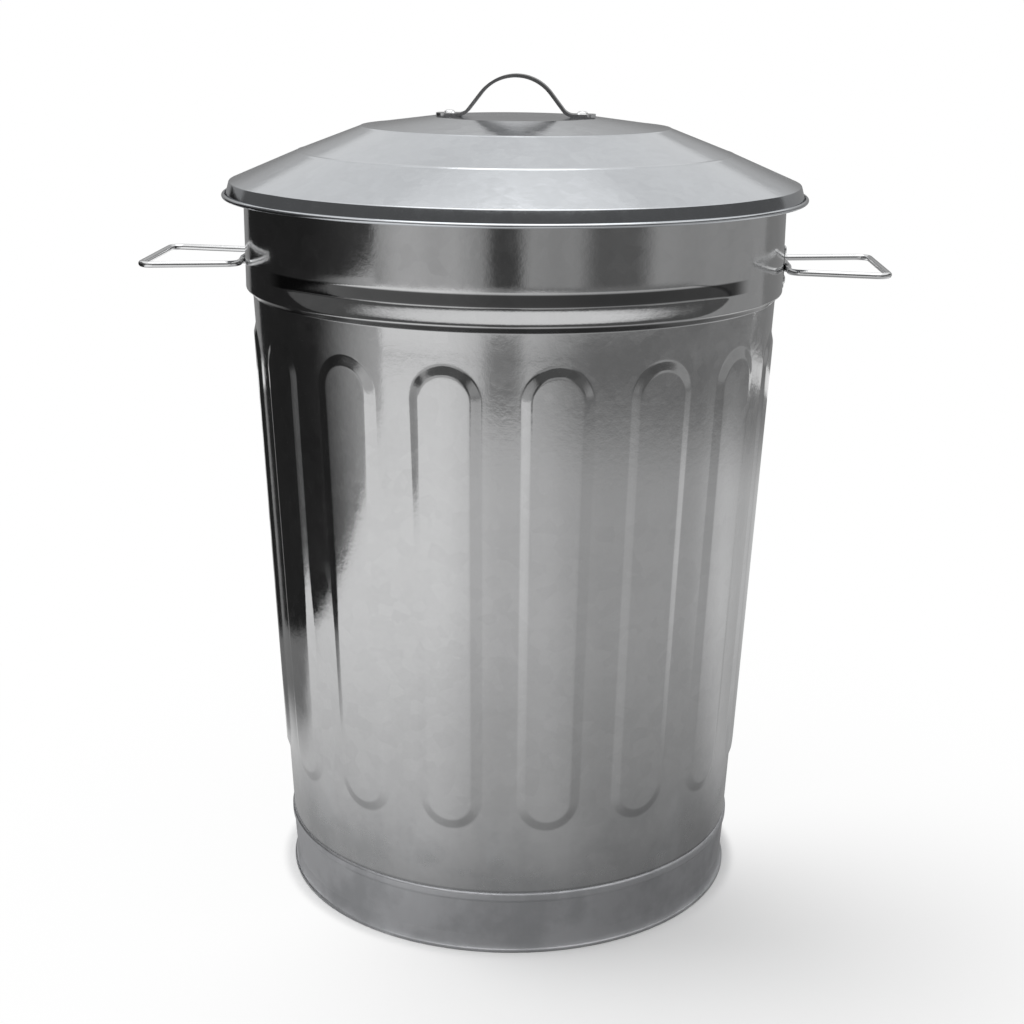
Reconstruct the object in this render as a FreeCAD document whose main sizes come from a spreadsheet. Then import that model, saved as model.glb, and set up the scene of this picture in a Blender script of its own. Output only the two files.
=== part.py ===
import FreeCAD, Part
import math
import os
import Sketcher
from FreeCAD import Placement, Rotation, Vector

# Galvanized trash can with lid, in millimetres.
# Frame: origin on the floor under the can's axis, +Z up, side handles on +X and -X, front at -Y.

# Driving sizes: each alias is a cell of the sheet.
SIZES = {
    "sheet": 0.6,                   # gauge of the body and the lid
    "seat": 0.15,                   # clearance between sheets that lie against each other
    "wall_low": 189.8,              # outer radius of the tapered wall at the top of the base ring
    "band_radius": 217.2,           # outer radius of the plain band
    "band_step": 5.4,               # how far the band stands out of the wall under it
    "band_step_height": 5.0,
    "band_height": 85.9,            # from the band's lower edge up to the top of the rim
    "rim_top": 592.9,
    "rim_wire_radius": 1.8,
    "rim_wire_clearance": 0.3,
    "rim_joint": 0.8,               # the band ends in the roll this far below its centre
    "swage_gap": 1.2,               # from the band's lower edge up to the swage
    "swage_width": 22.4,            # the swage is a V pressed into the band, front and back
    "swage_depth": 5.5,
    "swage_angle": 50.0,            # half of the angle that one swage spans
    "flute_count": 16,
    "flute_angle": 14.6,            # angle that one flute spans at the wall
    "flute_height": 2.0,
    "flute_bevel": 7.5,             # width of the sloping edge round a flute
    "flute_low_gap": 54.8,          # from the base ring up to the flutes
    "flute_high_gap": 24.5,         # from the flutes up to the top of the wall
    "seam_width": 14.0,             # lap seam down the back
    "seam_low_gap": 1.5,
    "seam_high_gap": 8.0,
    "ring_sheet": 1.0,
    "ring_height": 53.0,
    "ring_hem": 5.6,                # width of the hem turned in at the floor
    "ring_bead": 2.4,               # how far the bead round the foot stands out of the ring
    "ring_bead_height": 5.0,
    "ring_bead_bend": 1.8,
    "pan_height": 26.0,             # top face of the floor pan
    "pan_sheet": 0.8,
    "pan_bend": 5.0,
    "lid_seat": 0.3,                # gap between the lid and the rim it rests on
    "lid_top_radius": 66.0,         # the lid's zones, each with its width and its drop
    "lid_crease_width": 58.0,
    "lid_crease_drop": 7.6,
    "lid_break_inset": 54.0,        # from the shoulder in to the second crease
    "lid_break_drop": 19.4,
    "lid_shoulder_drop": 22.9,
    "lid_overhang": 7.0,            # from the rolled rim out to the lid's shoulder
    "lid_flare": 3.0,               # how far the skirt runs out below the shoulder
    "lid_skirt_drop": 12.5,         # from the shoulder to the underside of the rolled edge
    "lid_edge_reach": 3.0,          # how far the rolled edge stands out of the skirt
    "lid_edge_roll": 2.0,           # outer radius of the roll's section
    "lid_bend": 5.0,
    "lid_shoulder_bend": 2.5,
    "lid_handle_foot": 40.5,        # where the foot ends and the arch begins
    "lid_handle_toe": 23.3,         # length of a foot
    "lid_handle_rivets": 12.7,      # from where a foot ends to its rivet
    "lid_handle_rise": 33.1,
    "lid_handle_slope": 52.0,       # of the arch's legs, in degrees
    "lid_handle_width": 22.0,
    "lid_handle_sheet": 2.5,
    "lid_handle_bend": 10.0,
    "lid_handle_corner": 7.0,
    "bail_wire": 5.0,
    "bail_drop": 68.2,              # from the top of the rim down to the bail's hinge line
    "bail_reach": 76.0,             # from the hinge line to the middle of the grip
    "bail_grip": 116.0,
    "bail_hinge": 88.0,
    "bail_bend": 9.0,
    "bail_clearance": 0.08,         # running clearance of the bail in its ear
    "bail_wall_gap": 0.4,
    "ear_width": 38.0,
    "ear_height": 33.6,
    "ear_sheet": 1.2,
    "ear_knuckle": 30.0,            # length of the half-round channel
    "ear_corner": 6.0,
    "ear_rivets": 23.4,             # distance between the two rivets of an ear
    "rivet_fit": 0.1,               # clearance of a rivet in its hole
    "rivet_shank": 4.0,
    "rivet_head": 9.0,
    "rivet_dome": 2.2,
    "rivet_tail": 1.2,
    "rivet_flare": 1.2,             # how far the tail stands out of the shank
}

SHEET_NAME = "Sizes"
OVERRUN = 1.0                       # how far a cutting form runs past what it cuts


class Size:
    """A length that carries its number and the sheet expression it comes from."""

    def __init__(self, value, text):
        self.value = float(value)
        self.text = text

    def combine(self, other, sign, swap=False):
        other = as_size(other)
        left, right = (other, self) if swap else (self, other)
        if sign == "+":
            value = left.value + right.value
        elif sign == "-":
            value = left.value - right.value
        elif sign == "*":
            value = left.value * right.value
        else:
            value = left.value / right.value
        return Size(value, f"({left.text} {sign} {right.text})")

    def __add__(self, other):
        return self.combine(other, "+")

    def __radd__(self, other):
        return self.combine(other, "+", swap=True)

    def __sub__(self, other):
        return self.combine(other, "-")

    def __rsub__(self, other):
        return self.combine(other, "-", swap=True)

    def __mul__(self, other):
        return self.combine(other, "*")

    def __rmul__(self, other):
        return self.combine(other, "*", swap=True)

    def __truediv__(self, other):
        return self.combine(other, "/")

    def __rtruediv__(self, other):
        return self.combine(other, "/", swap=True)

    def __neg__(self):
        return Size(-self.value, f"(-1 * {self.text})")


def as_size(number):
    return number if isinstance(number, Size) else Size(number, repr(float(number)))


def root(size):
    return Size(math.sqrt(size.value), f"sqrt({size.text})")


def tangent_of(size):
    return Size(math.tan(math.radians(size.value)), f"tan({size.text} * 1 deg)")


def cosine_of(size):
    return Size(math.cos(math.radians(size.value)), f"cos({size.text} * 1 deg)")


class Dims:
    """Every driving size by its alias, as a Size bound to the sheet."""

    def __init__(self, sizes):
        for alias, value in sizes.items():
            setattr(self, alias, Size(value, f"{SHEET_NAME}.{alias}"))
        self.place_wall()
        self.place_lid()

    def place_wall(self):
        """Heights and radii of the body that follow from the sizes."""
        self.wall_high = self.band_radius - self.band_step
        self.band_bottom = self.rim_top - self.band_height
        self.wall_top = self.band_bottom - self.band_step_height
        self.swage_low = self.band_bottom + self.swage_gap
        self.swage_mid = self.swage_low + self.swage_width / 2
        self.swage_high = self.swage_low + self.swage_width
        self.flute_low = self.ring_height + self.flute_low_gap
        self.flute_high = self.wall_top - self.flute_high_gap
        self.seam_low = self.ring_height + self.seam_low_gap
        self.seam_high = self.rim_top - self.seam_high_gap
        self.bail_height = self.rim_top - self.bail_drop
        self.rivet_tail_radius = self.rivet_shank / 2 + self.rivet_flare

    def place_lid(self):
        """Radii of the lid's zones from the rim outward, and its drops below the flat top."""
        roll = self.rim_wire_radius + self.rim_wire_clearance + self.sheet
        self.lid_shoulder_radius = self.band_radius - self.sheet + 2.0 * roll + self.lid_overhang
        self.lid_skirt_radius = self.lid_shoulder_radius + self.lid_flare
        self.lid_edge_radius = self.lid_skirt_radius + self.lid_edge_reach
        self.lid_break_radius = self.lid_shoulder_radius - self.lid_break_inset
        self.lid_crease_radius = self.lid_top_radius + self.lid_crease_width
        self.break_depth = self.lid_crease_drop + self.lid_break_drop
        self.shoulder_depth = self.break_depth + self.lid_shoulder_drop
        self.edge_depth = self.shoulder_depth + self.lid_skirt_drop
        self.handle_rivets = self.lid_handle_foot + self.lid_handle_rivets


def write_sheet(doc):
    sheet = doc.addObject("Spreadsheet::Sheet", SHEET_NAME)
    for row, (alias, value) in enumerate(SIZES.items(), start=1):
        sheet.set(f"A{row}", alias)
        sheet.set(f"B{row}", str(value))
        sheet.setAlias(f"B{row}", alias)
    doc.recompute()
    return sheet


# ---- sketches ----------------------------------------------------------------------------------

def origin_plane(body, role):
    return next(f for f in body.Origin.OriginFeatures if f.Role == role)


def new_sketch(body, name, role, offset=Placement()):
    sketch = body.newObject("Sketcher::SketchObject", name)
    sketch.AttachmentSupport = [(origin_plane(body, role), "")]
    sketch.MapMode = "FlatFace"
    sketch.AttachmentOffset = offset
    return sketch


def bind(sketch, kind, args, size):
    """Adds a dimension to the sketch and ties it to the sheet."""
    index = sketch.addConstraint(Sketcher.Constraint(kind, *args, size.value))
    sketch.setExpression(f"Constraints[{index}]", size.text)


def fix_point(sketch, geometry, end, x, y):
    for kind, size in (("DistanceX", x), ("DistanceY", y)):
        if abs(size.value) < 1e-9 and size.text in ("0.0", "-0.0"):
            axis = -2 if kind == "DistanceX" else -1
            sketch.addConstraint(Sketcher.Constraint("PointOnObject", geometry, end, axis))
        else:
            bind(sketch, kind, (-1, 1, geometry, end), size)


def corner_arc(before, corner, after, radius):
    """Tangent points and arc that round a corner, from plain numbers."""
    to_before = (before - corner).normalize()
    to_after = (after - corner).normalize()
    half = to_before.getAngle(to_after) / 2
    run = radius / math.tan(half)
    start = corner + to_before * run
    end = corner + to_after * run
    middle_way = (to_before + to_after).normalize()
    centre = corner + middle_way * (radius / math.sin(half))
    middle = centre - middle_way * radius
    return start, middle, end


def draw_outline(sketch, corners):
    """Draws a closed outline of lines; a corner (x, y, radius) is rounded by a tangent arc."""
    return draw_lines(sketch, corners, closed=True)


def draw_route(sketch, corners):
    """Draws an open line from the first corner to the last, rounded in the same way."""
    return draw_lines(sketch, corners, closed=False)


def draw_lines(sketch, corners, closed):
    corners = [(as_size(c[0]), as_size(c[1]), c[2] if len(c) > 2 else None) for c in corners]
    points = [Vector(x.value, y.value, 0) for x, y, _ in corners]
    count = len(points)
    cuts = []
    for i, (_, _, radius) in enumerate(corners):
        if radius is None:
            cuts.append((points[i], None, points[i]))
        else:
            cuts.append(corner_arc(points[i - 1], points[i], points[(i + 1) % count], radius.value))
    lines = []
    for i in range(count if closed else count - 1):
        segment = Part.LineSegment(cuts[i][2], cuts[(i + 1) % count][0])
        lines.append(sketch.addGeometry(segment, False))
    for i, (x, y, radius) in enumerate(corners):
        if not closed and i in (0, count - 1):
            line, end = (lines[0], 1) if i == 0 else (lines[-1], 2)
            fix_point(sketch, line, end, x, y)
            continue
        incoming, outgoing = lines[i - 1], lines[i]
        if radius is None:
            sketch.addConstraint(Sketcher.Constraint("Coincident", incoming, 2, outgoing, 1))
            fix_point(sketch, outgoing, 1, x, y)
            continue
        round_corner(sketch, incoming, outgoing, cuts[i], (x, y, radius))
    return sketch


def round_corner(sketch, incoming, outgoing, cut, corner):
    """Adds the arc of a rounded corner, tied to its two lines and to where they would meet."""
    start, middle, end = cut
    x, y, radius = corner
    clockwise = (middle - start).cross(end - middle).z < 0
    arc = sketch.addGeometry(Part.Arc(start, middle, end), False)
    first, last = (2, 1) if clockwise else (1, 2)
    sketch.addConstraint(Sketcher.Constraint("Tangent", incoming, 2, arc, first))
    sketch.addConstraint(Sketcher.Constraint("Tangent", arc, last, outgoing, 1))
    bind(sketch, "Radius", (arc,), radius)
    vertex = sketch.addGeometry(Part.Point(Vector(x.value, y.value, 0)), True)
    fix_point(sketch, vertex, 1, x, y)
    sketch.addConstraint(Sketcher.Constraint("PointOnObject", vertex, 1, incoming))
    sketch.addConstraint(Sketcher.Constraint("PointOnObject", vertex, 1, outgoing))


def draw_circle(sketch, x, y, radius):
    x, y, radius = as_size(x), as_size(y), as_size(radius)
    circle = Part.Circle(Vector(x.value, y.value, 0), Vector(0, 0, 1), radius.value)
    index = sketch.addGeometry(circle, False)
    fix_point(sketch, index, 3, x, y)
    bind(sketch, "Radius", (index,), radius)
    return sketch


# ---- features ----------------------------------------------------------------------------------

def new_body(doc, name):
    body = doc.addObject("PartDesign::Body", name)
    body.Label = name
    return body


def revolve(body, sketch, kind="Revolution", angle=360.0):
    feature = body.newObject(f"PartDesign::{kind}", f"{sketch.Name}_{kind.lower()}")
    feature.Profile = sketch
    feature.ReferenceAxis = (sketch, ["V_Axis"])
    feature.Angle = angle
    feature.Midplane = angle < 360.0
    sketch.Visibility = False
    return feature


def revolved_body(doc, name, corners):
    body = new_body(doc, name)
    sketch = draw_outline(new_sketch(body, f"{name}_section", "XZ_Plane"), corners)
    revolve(body, sketch)
    return body


def polar_pattern(body, name, originals, count):
    pattern = body.newObject("PartDesign::PolarPattern", name)
    pattern.Originals = originals
    pattern.Axis = (origin_axis(body, "Z_Axis"), [""])
    pattern.Angle = 360.0
    pattern.Occurrences = int(round(count.value))
    if count.text.startswith(SHEET_NAME):
        pattern.setExpression("Occurrences", count.text)
    body.Tip = pattern
    return pattern


def origin_axis(body, role):
    return next(f for f in body.Origin.OriginFeatures if f.Role == role)


def turned(degrees_, radius=0.0, height=0.0, tilt=0.0):
    """Offset of a sketch on the front plane: turned about the can's axis, then tilted back."""
    turn = Rotation(Vector(0, 1, 0), degrees_)
    place = turn.multVec(Vector(0, height, radius))
    return Placement(place, turn.multiply(Rotation(Vector(1, 0, 0), tilt)))


# ---- the can's outer form, drawn once and used for its outside and its inside -------------------

def wall_radius(dims, height):
    """Outer radius of the tapered wall at a height."""
    rise = (height - dims.ring_height) / (dims.wall_top - dims.ring_height)
    return dims.wall_low + (dims.wall_high - dims.wall_low) * rise


def wall_tilt(dims):
    """Lean of the tapered wall, in degrees."""
    slope = (dims.wall_high.value - dims.wall_low.value) / (dims.wall_top.value - dims.ring_height.value)
    return math.degrees(math.atan(slope))


def flute_slopes(dims, radius):
    """How far a flute's side and end draw in for each millimetre that the flute stands out."""
    half = math.radians(dims.flute_angle.value / 2)
    inner = half - dims.flute_bevel.value / radius
    face = radius + dims.flute_height.value
    side_run = radius * math.sin(half) - face * math.sin(inner)
    side_rise = face * math.cos(inner) - radius * math.cos(half)
    return side_run / side_rise, dims.flute_bevel.value / dims.flute_height.value


def draw_flute(sketch, dims, level, inset):
    """Slot outline of a flute where a plane at this level above the wall cuts it."""
    low, high = dims.flute_low.value, dims.flute_high.value
    middle = (low + high) / 2
    lean = math.cos(math.radians(wall_tilt(dims)))
    half_angle = math.radians(dims.flute_angle.value / 2)
    ends = []
    for height, way in ((high, 1.0), (low, -1.0)):
        radius = wall_radius(dims, as_size(height)).value
        side_slope, end_slope = flute_slopes(dims, radius)
        sag = radius * (1 - math.cos(half_angle))
        half_width = radius * math.sin(half_angle) - side_slope * (level + sag)
        half_width -= inset * math.hypot(1.0, side_slope)
        reach = (height - middle) * way / lean - end_slope * level - inset * math.hypot(1.0, end_slope)
        ends.append((way * (reach - half_width), half_width))
    (top_y, top_r), (low_y, low_r) = ends
    tangent = math.asin((top_r - low_r) / (top_y - low_y))
    cos_t, sin_t = math.cos(tangent), math.sin(tangent)
    top_right = Vector(top_r * cos_t, top_y - top_r * sin_t, 0)
    top_left = Vector(-top_right.x, top_right.y, 0)
    low_right = Vector(low_r * cos_t, low_y - low_r * sin_t, 0)
    low_left = Vector(-low_right.x, low_right.y, 0)
    top = sketch.addGeometry(Part.Arc(top_right, Vector(0, top_y + top_r, 0), top_left), False)
    left = sketch.addGeometry(Part.LineSegment(top_left, low_left), False)
    low_arc = sketch.addGeometry(Part.Arc(low_left, Vector(0, low_y - low_r, 0), low_right), False)
    right = sketch.addGeometry(Part.LineSegment(low_right, top_right), False)
    for first, end_a, second, end_b in ((top, 2, left, 1), (left, 2, low_arc, 1),
                                        (low_arc, 2, right, 1), (right, 2, top, 1)):
        sketch.addConstraint(Sketcher.Constraint("Tangent", first, end_a, second, end_b))
    for arc, centre, radius in ((top, top_y, top_r), (low_arc, low_y, low_r)):
        fix_point(sketch, arc, 3, as_size(0), as_size(centre))
        sketch.addConstraint(Sketcher.Constraint("Radius", arc, radius))
    return sketch


def add_flutes(body, dims, inset):
    """Lofts one flute out of the wall, repeats it round the can and trims all to one cone."""
    sink = 3.0                      # how deep a flute's root lies inside the wall
    over = 1.5                      # how far a flute is drawn past its face before the trim
    tilt = wall_tilt(dims)
    middle = (dims.flute_low + dims.flute_high) / 2
    radius = wall_radius(dims, middle).value
    turn = 180.0 / dims.flute_count.value
    sections = []
    for name, level in (("root", -sink), ("face", dims.flute_height.value + over)):
        lean = math.radians(tilt)
        place = turned(turn, radius + level * math.cos(lean), middle.value - level * math.sin(lean), tilt)
        sketch = new_sketch(body, f"{body.Name}_flute_{name}", "XZ_Plane", place)
        sections.append(draw_flute(sketch, dims, level, inset))
    loft = body.newObject("PartDesign::AdditiveLoft", f"{body.Name}_flute")
    loft.Profile = sections[0]
    loft.Sections = [sections[1]]
    loft.Ruled = True
    polar_pattern(body, f"{body.Name}_flutes", [loft], dims.flute_count)
    face = dims.flute_height - inset
    low, high = dims.flute_low - 6.0, dims.wall_top - 4.0
    trim = draw_outline(new_sketch(body, f"{body.Name}_flute_trim", "XZ_Plane"), [
        (wall_radius(dims, low) + face, low),
        (wall_radius(dims, low) + 20.0, low),
        (wall_radius(dims, high) + 20.0, high),
        (wall_radius(dims, high) + face, high),
    ])
    revolve(body, trim, "Groove")


def swage_section(sketch, dims, inset):
    """The V that is pressed into the band, drawn past the band's face."""
    half = (dims.swage_high - dims.swage_low) / 2
    lean = root(1.0 + (dims.swage_depth / half) * (dims.swage_depth / half))
    root_radius = dims.band_radius - dims.swage_depth - inset * lean
    stretch = 3.0                   # how many times the pressed depth the cutter reaches out
    outer = dims.band_radius + dims.swage_depth * (stretch - 1.0)
    return draw_outline(sketch, [
        (root_radius, dims.swage_mid),
        (outer, dims.swage_mid - half * stretch),
        (outer, dims.swage_mid + half * stretch),
    ])


def press_swages(body, dims, inset):
    """Cuts a V along the front of the band that leaves it on a tangent at both ends, and one behind."""
    floor_radius = dims.band_radius.value - dims.swage_depth.value
    run_out = math.degrees(math.acos(floor_radius / dims.band_radius.value))
    half_arc = dims.swage_angle.value - run_out
    groove_sketch = swage_section(new_sketch(body, f"{body.Name}_swage", "XZ_Plane",
                                             turned(-90.0)), dims, inset)
    cuts = [revolve(body, groove_sketch, "Groove", 2 * half_arc)]
    for name, angle in (("left", -half_arc), ("right", half_arc)):
        sketch = swage_section(new_sketch(body, f"{body.Name}_swage_{name}", "XZ_Plane",
                                          turned(angle - 90.0)), dims, inset)
        pocket = body.newObject("PartDesign::Pocket", f"{body.Name}_run_out_{name}")
        pocket.Profile = sketch
        pocket.Length = 2.0 * dims.band_radius.value * math.sin(math.radians(run_out))
        pocket.Reversed = name == "left"
        cuts.append(pocket)
    polar_pattern(body, f"{body.Name}_swages", cuts, as_size(2))


def can_form(doc, dims, name, inset, bottom, top):
    """Solid whose surface is the can's sheet, drawn in by inset."""
    body = revolved_body(doc, name, [
        (0, bottom),
        (wall_radius(dims, bottom) - inset, bottom),
        (dims.wall_high - inset, dims.wall_top),
        (dims.band_radius - inset, dims.band_bottom),
        (dims.band_radius - inset, top),
        (0, top),
    ])
    add_flutes(body, dims, inset.value)
    press_swages(body, dims, inset)
    return body


# ---- sub-parts ---------------------------------------------------------------------------------

def hem_top(dims):
    """Top of the ring's hem, on which the wall and the pan stand."""
    return 2.0 * dims.ring_sheet + dims.seat


def rim_roll(dims):
    """Outer radius of the rolled rim's section, and the centre of the wire in it."""
    roll = dims.rim_wire_radius + dims.rim_wire_clearance + dims.sheet
    return roll, dims.band_radius - dims.sheet + roll, dims.rim_top - roll


def roll_edge(body, dims, centre_radius, centre_height, outer):
    """Adds a hollow rolled edge, open by a slit on its lower inner side, where the sheet ends."""
    sketch = new_sketch(body, f"{body.Name}_roll", "XZ_Plane")
    draw_circle(sketch, centre_radius, centre_height, outer)
    draw_circle(sketch, centre_radius, centre_height, outer - dims.sheet)
    revolve(body, sketch)
    slit = new_sketch(body, f"{body.Name}_slit", "XZ_Plane")
    wide = outer * 0.3
    far, near = centre_radius - 2.0 * wide, centre_radius - wide
    low, high = centre_height - outer - OVERRUN, centre_height - outer / 2
    draw_outline(slit, [(far, low), (near, low), (near, high), (far, high)])
    revolve(body, slit, "Groove")


def lap_seam(doc, dims):
    """Overlap of the body sheet down the back: one more gauge thick, following the wall."""
    body = new_body(doc, "lap_seam")
    low, top = dims.seam_low, dims.seam_high
    floor_radius = dims.band_radius - dims.swage_depth
    route = [
        (wall_radius(dims, low), low),
        (dims.wall_high, dims.wall_top),
        (dims.band_radius, dims.band_bottom),
        (dims.band_radius, dims.swage_low),
        (floor_radius, dims.swage_mid),
        (dims.band_radius, dims.swage_high),
        (dims.band_radius, top),
    ]
    outer = [(x + dims.sheet, y) for x, y in route]
    inner = [(x - dims.sheet / 2, y) for x, y in reversed(route)]
    sketch = draw_outline(new_sketch(body, "lap_seam_section", "XZ_Plane", turned(90.0)), outer + inner)
    revolve(body, sketch, angle=math.degrees(dims.seam_width.value / dims.wall_high.value))
    return body


def rivet_holes(doc, dims, name):
    """Two pins along X that drill both ears' rivet holes through the band."""
    pins = []
    for side, step in (("upper", 0.5), ("lower", -0.5)):
        pin = doc.addObject("Part::Cylinder", f"{name}_{side}")
        pin.setExpression("Radius", (dims.rivet_shank / 2 + dims.rivet_fit).text)
        pin.setExpression("Height", (2.0 * (dims.band_radius + OVERRUN)).text)
        pin.Placement = Placement(Vector(0, 0, 0), Rotation(Vector(0, 1, 0), 90))
        pin.setExpression("Placement.Base.x", (-dims.band_radius - OVERRUN).text)
        pin.setExpression("Placement.Base.z", (dims.bail_height + dims.ear_rivets * step).text)
        pins.append(pin)
    return join(doc, name, "Part::MultiFuse", pins)


def join(doc, name, kind, shapes):
    """A boolean of several objects under one name."""
    result = doc.addObject(kind, name)
    result.Label = name
    if kind == "Part::Cut":
        result.Base, result.Tool = shapes
    else:
        result.Shapes = shapes
    return result


def body_shell(doc, dims):
    roll, roll_radius, roll_height = rim_roll(dims)
    top = roll_height - dims.rim_joint
    bottom = hem_top(dims)
    outside = can_form(doc, dims, "can_outside", as_size(0), bottom, top)
    inside = can_form(doc, dims, "can_inside", dims.sheet, bottom - OVERRUN, top + OVERRUN)
    wall = join(doc, "can_wall", "Part::Cut", [outside, inside])
    rim = new_body(doc, "can_rim")
    roll_edge(rim, dims, roll_radius, roll_height, roll)
    whole = join(doc, "can_whole", "Part::MultiFuse", [wall, rim, lap_seam(doc, dims)])
    return join(doc, "body_shell", "Part::Cut", [whole, rivet_holes(doc, dims, "band_holes")])


def rim_wire(doc, dims):
    _, radius, height = rim_roll(dims)
    wire = doc.addObject("Part::Torus", "rim_wire")
    wire.setExpression("Radius1", radius.text)
    wire.setExpression("Radius2", dims.rim_wire_radius.text)
    wire.setExpression("Placement.Base.z", height.text)
    return wire


def base_ring(doc, dims):
    """Ring that follows the wall, with a bead round its foot and a hem turned in under the wall."""
    def outside(height):
        return wall_radius(dims, height) + dims.seat + dims.ring_sheet

    foot = outside(dims.ring_bead_height)
    bead, hem, fold = foot + dims.ring_bead, foot - dims.ring_hem, 2.0 * dims.ring_sheet
    return revolved_body(doc, "base_ring", [
        (hem, 0),
        (bead, 0, dims.ring_bead_bend),
        (bead, dims.ring_bead_height, dims.ring_bead_bend),
        (foot, dims.ring_bead_height),
        (outside(dims.ring_height), dims.ring_height),
        (wall_radius(dims, dims.ring_height) + dims.seat, dims.ring_height),
        (wall_radius(dims, fold) + dims.seat, fold),
        (hem, fold),
    ])


def floor_pan(doc, dims):
    top, low = dims.pan_height, hem_top(dims)
    inset = dims.sheet + dims.seat
    outer_top, outer_low = wall_radius(dims, top) - inset, wall_radius(dims, low) - inset
    return revolved_body(doc, "floor_pan", [
        (0, top - dims.pan_sheet),
        (outer_top - dims.pan_sheet, top - dims.pan_sheet, dims.pan_bend - dims.pan_sheet),
        (outer_low - dims.pan_sheet, low),
        (outer_low, low),
        (outer_top, top, dims.pan_bend),
        (0, top),
    ])


def lid_slope(dims):
    return dims.lid_shoulder_drop / dims.lid_break_inset


def lid_top(dims):
    """Height of the lid's flat top, from the lid's seat on the rolled rim."""
    roll, radius, height = rim_roll(dims)
    slope = lid_slope(dims)
    slant = root(1.0 + slope * slope)
    above = (roll + dims.lid_seat + dims.sheet) * slant
    return height + above + dims.break_depth + slope * (radius - dims.lid_break_radius)


def lid_shell(doc, dims):
    top = lid_top(dims)
    gauge = dims.sheet * root(1.0 + lid_slope(dims) * lid_slope(dims))
    roll_radius = dims.lid_edge_radius - dims.lid_edge_roll
    roll_height = top - dims.edge_depth + dims.lid_edge_roll
    skirt_end = roll_height + dims.lid_edge_roll / 2
    crease = (dims.lid_crease_radius, top - dims.lid_crease_drop)
    flank = (dims.lid_break_radius, top - dims.break_depth)
    shoulder = (dims.lid_shoulder_radius, top - dims.shoulder_depth)
    body = revolved_body(doc, "lid_shell", [
        (0, top),
        (dims.lid_top_radius, top, dims.lid_bend),
        (*crease, dims.lid_bend),
        (*flank, dims.lid_bend),
        (*shoulder, dims.lid_shoulder_bend),
        (dims.lid_skirt_radius, skirt_end),
        (dims.lid_skirt_radius - dims.sheet, skirt_end),
        (shoulder[0] - dims.sheet, shoulder[1] - gauge + dims.sheet * lid_slope(dims)),
        (flank[0], flank[1] - gauge, dims.lid_bend),
        (crease[0], crease[1] - gauge, dims.lid_bend),
        (dims.lid_top_radius, top - dims.sheet, dims.lid_bend),
        (0, top - dims.sheet),
    ])
    roll_edge(body, dims, roll_radius, roll_height, dims.lid_edge_roll)
    sketch = new_sketch(body, "lid_rivet_holes", "XY_Plane", Placement(Vector(0, 0, top.value), Rotation()))
    for side in (-1.0, 1.0):
        draw_circle(sketch, dims.handle_rivets * side, 0, dims.rivet_shank / 2 + dims.rivet_fit)
    pocket(body, sketch)
    return body


def pocket(body, sketch):
    """Cuts the sketch right through the body, to both sides."""
    body.Document.recompute()
    before = body.Tip.Shape.Volume
    feature = body.newObject("PartDesign::Pocket", f"{sketch.Name}_pocket")
    feature.Profile = sketch
    feature.Type = "ThroughAll"
    feature.Midplane = True
    body.Document.recompute()
    if feature.Shape.isNull() or not feature.Shape.Volume < before:
        raise RuntimeError(f"{feature.Name} cuts nothing")
    return feature


def pad(body, sketch, length):
    feature = body.newObject("PartDesign::Pad", f"{sketch.Name}_pad")
    feature.Profile = sketch
    feature.setExpression("Length", length.text)
    feature.Midplane = True
    return feature


def round_corners(body, name, radius, is_corner):
    """Rounds the edges that the test picks."""
    body.Document.recompute()
    base = body.Tip
    picked = [f"Edge{i}" for i, edge in enumerate(base.Shape.Edges, start=1) if is_corner(edge)]
    if not picked:
        raise RuntimeError(f"{name} has no edge to round")
    fillet = body.newObject("PartDesign::Fillet", name)
    fillet.Base = (base, picked)
    fillet.setExpression("Radius", radius.text)
    return fillet


def edge_runs_along(edge, direction, length):
    if len(edge.Vertexes) != 2:
        return False
    run = edge.Vertexes[1].Point - edge.Vertexes[0].Point
    return abs(run.Length - length) < 0.05 * length and run.normalize().cross(direction).Length < 0.05


def lid_handle(doc, dims):
    body = new_body(doc, "lid_handle")
    base, gauge = lid_top(dims), dims.lid_handle_sheet
    slope = dims.lid_handle_slope
    foot = dims.lid_handle_foot
    half = foot + dims.lid_handle_toe
    peak = foot * tangent_of(slope)
    crown = (peak - dims.lid_handle_rise + gauge) * cosine_of(slope) / (1.0 - cosine_of(slope))
    bend = dims.lid_handle_bend
    step = gauge * tangent_of(slope / 2)
    outline = [
        (-half, base),
        (-foot, base, bend + gauge),
        (0, base + peak, crown),
        (foot, base, bend + gauge),
        (half, base),
        (half, base + gauge),
        (foot + step, base + gauge, bend),
        (0, base + peak + gauge / cosine_of(slope), crown + gauge),
        (-foot - step, base + gauge, bend),
        (-half, base + gauge),
    ]
    sketch = draw_outline(new_sketch(body, "lid_handle_side", "XZ_Plane"), outline)
    pad(body, sketch, dims.lid_handle_width)
    end, thick = half.value, gauge.value
    round_corners(body, "lid_handle_ends", dims.lid_handle_corner,
                  lambda edge: edge_runs_along(edge, Vector(0, 0, 1), thick)
                  and abs(abs(edge.CenterOfMass.x) - end) < 0.01)
    holes = new_sketch(body, "lid_handle_holes", "XY_Plane",
                       Placement(Vector(0, 0, base.value + thick / 2), Rotation()))
    for side in (-1.0, 1.0):
        draw_circle(holes, dims.handle_rivets * side, 0, dims.rivet_shank / 2 + dims.rivet_fit)
    body.Document.recompute()
    pocket(body, holes)
    return body


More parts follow.
